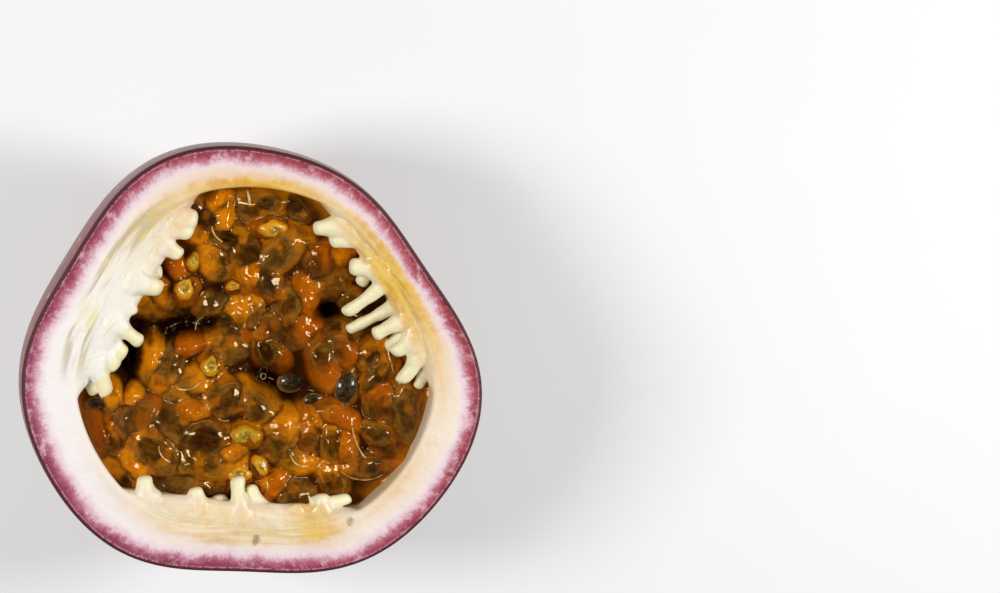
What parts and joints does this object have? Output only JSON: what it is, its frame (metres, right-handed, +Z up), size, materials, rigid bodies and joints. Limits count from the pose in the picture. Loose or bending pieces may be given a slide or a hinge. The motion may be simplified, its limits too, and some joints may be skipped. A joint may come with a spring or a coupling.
{
  "type": "passion fruit half",
  "caption": "Half of a ripe purple passion fruit, cut across, lying cut face up: thick pale pith in a dark red skin, filled with golden pulp and dark seeds.",
  "frame": {"origin": "on the surface that the half rests on, under the middle of its outline", "axes": "+Z up along the fruit's own axis, out of the level cut face; +X along the cut's longest width; +Y across it"},
  "size_m": [0.0597, 0.0561, 0.0352],
  "materials": {
    "rind": "waxy dark red skin with tan specks, pink under it, and dry cream-white pith on the cut face",
    "pulp": "wet, clear golden-orange jelly with dark seeds in it"
  },
  "bodies": {
    "root": {"rind": "rind", "pulp": "pulp"}
  },
  "joints": []
}
